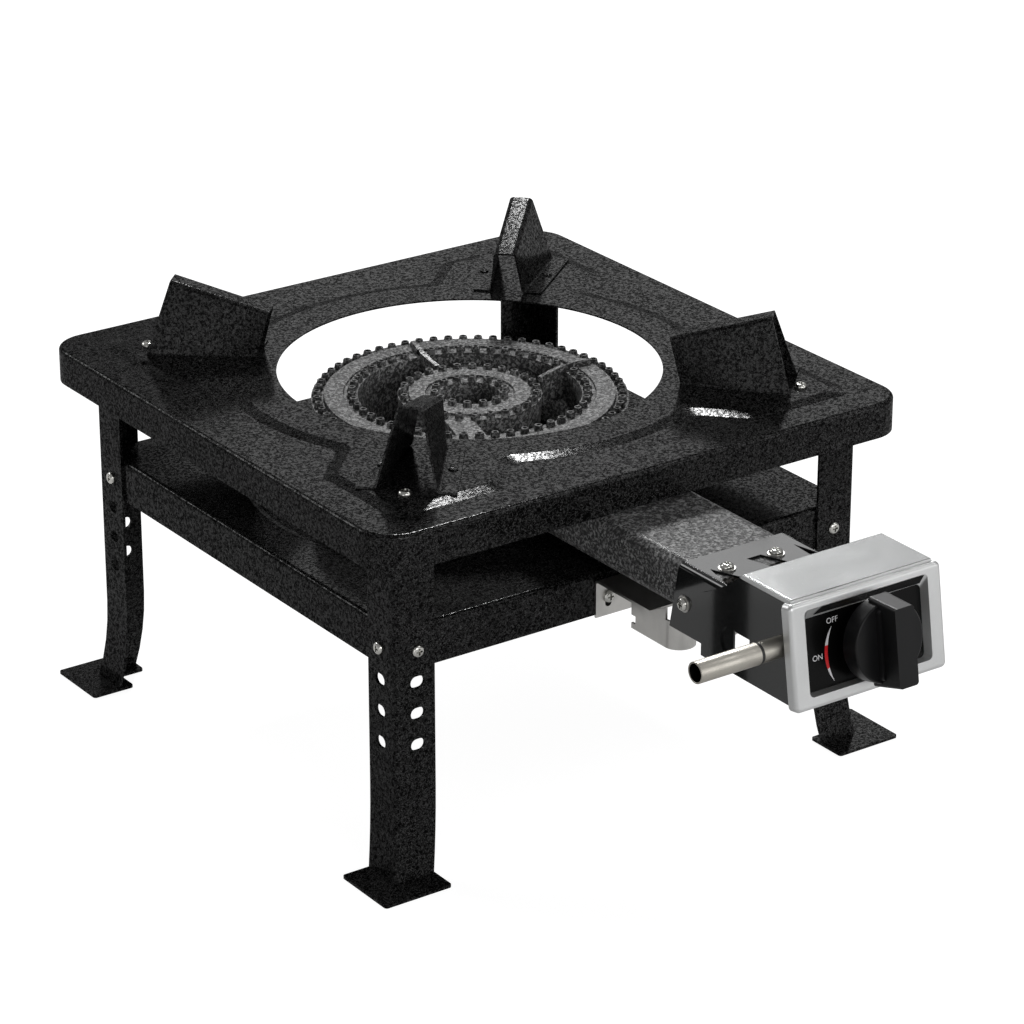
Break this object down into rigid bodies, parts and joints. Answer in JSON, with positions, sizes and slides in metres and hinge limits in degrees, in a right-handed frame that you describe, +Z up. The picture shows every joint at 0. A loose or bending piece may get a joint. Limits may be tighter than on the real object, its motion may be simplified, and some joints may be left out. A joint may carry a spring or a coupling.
{
  "type": "stock pot gas range",
  "caption": "Low square gas range on flared angle legs, with a round open burner, diagonal pot supports and a front valve box with a turning push knob",
  "frame": {"origin": "on the floor, under the burner's centre line", "axes": "+X along the front edge towards the right seen from the control side, +Y away from the control side, +Z up"},
  "size_m": [0.3824, 0.5948, 0.2768],
  "materials": {
    "enamel": "speckled vitreous enamel",
    "casting": "rough sand casting with speckled heat-proof paint",
    "black_paint": "gloss black paint",
    "bezel_metal": "satin silver paint on a die casting",
    "dial_black": "semi-gloss black",
    "knob_plastic": "gloss black",
    "zinc": "zinc plate",
    "spring_steel": "drawn wire",
    "brass": "machined",
    "inlet_metal": "satin nickel plate over brass",
    "rubber": "matte"
  },
  "bodies": {
    "range": {"bezel": "bezel_metal", "bezel_screws": "zinc", "bracket_nuts": "zinc", "bracket_screws": "zinc", "burner_bolts": "zinc", "burner_head": "casting", "cover_screws": "zinc", "cover_washers": "zinc", "dial_panel": "dial_black", "gas_inlet": "inlet_metal", "inlet_seal": "rubber", "jets": "brass", "leg_front_left": "enamel", "leg_front_right": "enamel", "leg_nuts": "zinc", "leg_rear_left": "enamel", "leg_rear_right": "enamel", "leg_screws": "zinc", "mixing_casting": "casting", "plate_nuts": "zinc", "plate_screws": "zinc", "pot_support_front_left": "enamel", "pot_support_front_right": "enamel", "pot_support_rear_left": "enamel", "pot_support_rear_right": "enamel", "support_rivets": "enamel", "top_plate": "enamel", "tray": "enamel", "tube_bracket": "zinc", "tube_cover": "black_paint", "tube_foot_screw": "zinc", "valve_body": "brass", "valve_housing": "black_paint", "valve_nut": "zinc"},
    "plug": {"valve_plug": "brass"},
    "knob": {"knob": "knob_plastic", "valve_stem": "brass", "stem_spring": "spring_steel"}
  },
  "joints": [
    {"name": "knob_turn", "type": "hinge", "parent": "range", "child": "plug", "pos_m": [0.0122, -0.3709, 0.187], "axis": [0, -0.9877, 0.1564], "range_deg": [0, 135]},
    {"name": "knob_push", "type": "slide", "parent": "plug", "child": "knob", "axis": [0, 0.9877, -0.1564], "range_m": [0, 0.003], "stiffness_N_per_m": 400, "springref_m": -0.003}
  ]
}
